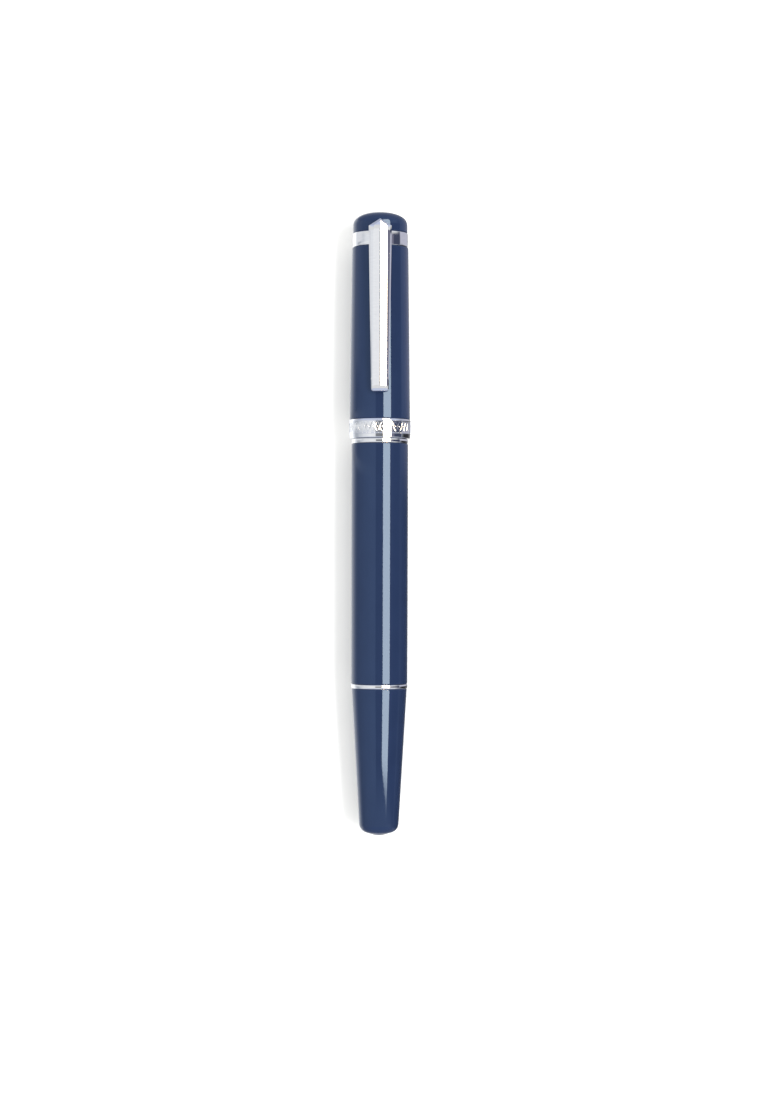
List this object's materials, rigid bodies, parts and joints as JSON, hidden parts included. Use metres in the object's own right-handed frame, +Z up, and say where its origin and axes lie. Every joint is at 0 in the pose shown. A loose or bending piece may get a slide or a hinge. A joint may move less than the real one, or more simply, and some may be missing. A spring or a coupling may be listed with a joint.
{
  "type": "rollerball pen",
  "caption": "Capped rollerball pen with lacquered metal barrel, chrome rings and sprung clip, push-on cap, screw-in grip section and sprung refill.",
  "frame": {"origin": "centre of the bounding box, on the surface the pen lies on", "axes": "+Y along the pen towards the cap's crown, +Z up, away from the surface and towards the clip"},
  "size_m": [0.0136, 0.1386, 0.0156],
  "materials": {
    "navy_lacquer": "deep gloss lacquer over metal",
    "chrome": "bright plated",
    "brass": "turned, bare",
    "steel": "drawn stainless",
    "black_plastic": "moulded, polished",
    "grey_plastic": "moulded, satin",
    "white_plastic": "extruded, slightly translucent",
    "ink_fibre": "bonded fibre soaked in ink",
    "rubber": "moulded"
  },
  "bodies": {
    "barrel": {"barrel_tube": "navy_lacquer", "barrel_front_ring": "chrome", "front_bush": "brass", "rear_bush": "brass", "tail_ring": "chrome", "tail_cone": "navy_lacquer", "spring_seat": "grey_plastic", "refill_spring": "steel"},
    "section_seal": {"section_seal": "rubber"},
    "section": {"section_tenon": "brass", "section_collar": "chrome", "grip_section": "black_plastic", "section_nose": "chrome"},
    "refill": {"refill_tube": "white_plastic", "refill_plug": "grey_plastic", "ink_reservoir": "ink_fibre", "feed_wick": "ink_fibre", "refill_nose": "grey_plastic", "refill_tip": "steel"},
    "ball": {"writing_ball": "steel"},
    "cap_clutch": {"clutch_ring": "steel"},
    "cap": {"cap_band": "chrome", "cap_tube": "navy_lacquer", "inner_cap": "black_plastic", "clip_ring": "chrome", "clip_pin": "steel", "clip_spring": "steel", "crown_stud": "brass", "crown": "navy_lacquer"},
    "clip": {"clip": "chrome"}
  },
  "joints": [
    {"name": "cap_pull", "type": "slide", "parent": "barrel", "child": "cap_clutch", "axis": [0, 1, 0], "range_m": [0, 0.04]},
    {"name": "cap_turn", "type": "hinge", "parent": "cap_clutch", "child": "cap", "pos_m": [0, 0.04205, 0.00685], "axis": [0, 1, 0], "continuous": true},
    {"name": "clip_lift", "type": "hinge", "parent": "cap", "child": "clip", "pos_m": [0, 0.06306, 0.01136], "axis": [-1, 0, 0], "range_deg": [0, 6], "stiffness_Nm_per_rad": 0.5, "springref_deg": -2.86, "deforming": ["clip_spring"]},
    {"name": "section_advance", "type": "slide", "parent": "barrel", "child": "section_seal", "axis": [0, 1, 0], "range_m": [0, 0.003]},
    {"name": "section_twist", "type": "hinge", "parent": "section_seal", "child": "section", "pos_m": [0, 0.01882, 0.00685], "axis": [0, 1, 0], "range_deg": [0, 1440]},
    {"name": "refill_push", "type": "slide", "parent": "section", "child": "refill", "axis": [0, 1, 0], "range_m": [-0.001, 0], "stiffness_N_per_m": 100, "springref_m": 0.002, "deforming": ["refill_spring"]},
    {"name": "ball_spin", "type": "hinge", "parent": "refill", "child": "ball", "pos_m": [0, 0.05335, 0.00685], "axis": [1, 0, 0], "continuous": true}
  ],
  "couplings": [
    {"joint": "section_twist", "follows": "section_advance", "rad_per_m": 8377.5}
  ]
}
